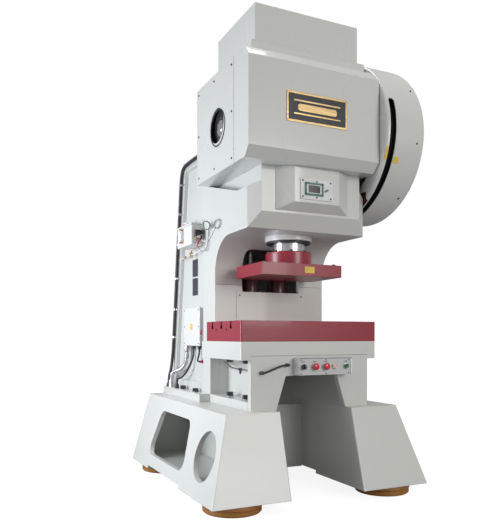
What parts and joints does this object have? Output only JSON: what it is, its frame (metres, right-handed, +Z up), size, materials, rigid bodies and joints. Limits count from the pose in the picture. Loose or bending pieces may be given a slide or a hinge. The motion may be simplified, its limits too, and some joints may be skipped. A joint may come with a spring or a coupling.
{
  "type": "mechanical stamping press",
  "caption": "C-frame single-crank mechanical press with a round guided ram over a T-slotted bolster, a guarded side flywheel and splayed feet on anti-vibration pads.",
  "frame": {"origin": "centre of the machine's overall footprint on the floor", "axes": "+Z up; operator stands at -Y looking along +Y; flywheel on the +X side"},
  "size_m": [1.39, 1.645, 2.779],
  "materials": {
    "frame_paint": "gloss enamel",
    "cover_paint": "gloss enamel",
    "red_paint": "gloss enamel",
    "dark_red_paint": "satin enamel",
    "pad_brown": "matt",
    "black_bolts": "black oxide",
    "chrome_plate": "polished",
    "machined_steel": "machined",
    "grey_iron": "machined casting",
    "bronze": "machined",
    "brass_trim": "polished",
    "black_rubber": "matt",
    "motor_paint": "satin enamel",
    "display_white": "satin",
    "clear_glass": "clear",
    "clear_tube": "clear hose",
    "metal_conduit": "galvanised",
    "box_paint": "powder coat",
    "panel_steel": "satin",
    "button_red": "gloss",
    "button_green": "gloss",
    "button_black": "satin"
  },
  "bodies": {
    "frame": {"isolation_pads": "pad_brown", "foot_right": "frame_paint", "foot_left": "frame_paint", "foot_cross_wall": "frame_paint", "base_flanges": "frame_paint", "anchor_bolts": "black_bolts", "bed_webs": "frame_paint", "bed_block": "frame_paint", "front_plate": "frame_paint", "bolster": "red_paint", "frame_side_right": "frame_paint", "frame_side_left": "frame_paint", "throat_wall": "frame_paint", "throat_cover_plate": "frame_paint", "frame_rear_wall": "frame_paint", "air_cylinders": "dark_red_paint", "crown_plates": "frame_paint", "head_front": "frame_paint", "display_hood": "cover_paint", "display_panel": "display_white", "cover_front": "cover_paint", "cover_side_left": "cover_paint", "cover_side_right": "cover_paint", "cover_roof": "cover_paint", "plinth": "cover_paint", "top_housing": "cover_paint", "name_plate": "brass_trim", "main_bushes": "bronze", "brake_ring": "grey_iron", "guide_bush": "bronze", "guide_housing": "grey_iron", "guide_flange": "frame_paint", "guide_seal": "black_rubber", "flywheel_guard": "cover_paint", "motor": "motor_paint", "drive_belts": "black_rubber", "lubricator_tank": "box_paint", "lubricator_valve": "button_black", "sight_gauge": "clear_glass", "air_tube": "clear_tube", "terminal_box": "box_paint", "flexible_conduit": "metal_conduit", "control_cables": "black_rubber", "hose_bundle": "black_rubber", "cable_glands": "machined_steel", "control_box": "panel_steel"},
    "crank": {"crankshaft": "machined_steel", "encoder_disc": "machined_steel", "clutch_disc": "grey_iron"},
    "connecting_rod": {"con_rod": "grey_iron", "rod_cap": "grey_iron"},
    "adjuster": {"adjusting_screw": "machined_steel"},
    "ram": {"plunger": "chrome_plate", "slide": "red_paint"},
    "flywheel": {"flywheel": "dark_red_paint"},
    "motor_rotor": {"motor_rotor": "machined_steel"},
    "selector": {"selector_knob": "button_black"},
    "stop_left": {"stop_button_left": "button_red"},
    "stop_right": {"stop_button_right": "button_red"},
    "start": {"start_button": "button_green"}
  },
  "joints": [
    {"name": "crank_turn", "type": "hinge", "parent": "frame", "child": "crank", "pos_m": [0, -0.3375, 2.148], "axis": [1, 0, 0], "range_deg": [0, 180]},
    {"name": "rod_swing", "type": "hinge", "parent": "crank", "child": "connecting_rod", "pos_m": [0, -0.3375, 2.173], "axis": [1, 0, 0], "range_deg": [-180, 0]},
    {"name": "ram_stroke", "type": "slide", "parent": "frame", "child": "adjuster", "axis": [0, 0, 1], "range_m": [-0.05, 0]},
    {"name": "die_height_adjust", "type": "slide", "parent": "adjuster", "child": "ram", "axis": [0, 0, 1], "range_m": [-0.05, 0]},
    {"name": "flywheel_spin", "type": "hinge", "parent": "frame", "child": "flywheel", "pos_m": [0, -0.3375, 2.148], "axis": [1, 0, 0], "continuous": true},
    {"name": "motor_spin", "type": "hinge", "parent": "frame", "child": "motor_rotor", "pos_m": [0, 0.6925, 1.9], "axis": [1, 0, 0], "continuous": true},
    {"name": "selector_turn", "type": "hinge", "parent": "frame", "child": "selector", "pos_m": [-0.098, -0.6735, 0.767], "axis": [0, -1, 0], "range_deg": [-45, 45]},
    {"name": "stop_left_press", "type": "slide", "parent": "frame", "child": "stop_left", "axis": [0, 1, 0], "range_m": [0, 0.005], "stiffness_N_per_m": 600, "springref_m": -0.004},
    {"name": "stop_right_press", "type": "slide", "parent": "frame", "child": "stop_right", "axis": [0, 1, 0], "range_m": [0, 0.005], "stiffness_N_per_m": 600, "springref_m": -0.004},
    {"name": "start_press", "type": "slide", "parent": "frame", "child": "start", "axis": [0, 1, 0], "range_m": [0, 0.005], "stiffness_N_per_m": 600, "springref_m": -0.004}
  ],
  "couplings": [
    {"joint": "rod_swing", "follows": "crank_turn", "ratio": -1},
    {"joint": "ram_stroke", "follows": "crank_turn", "m_per_rad": -0.0159},
    {"joint": "motor_spin", "follows": "flywheel_spin", "ratio": 5.152}
  ]
}
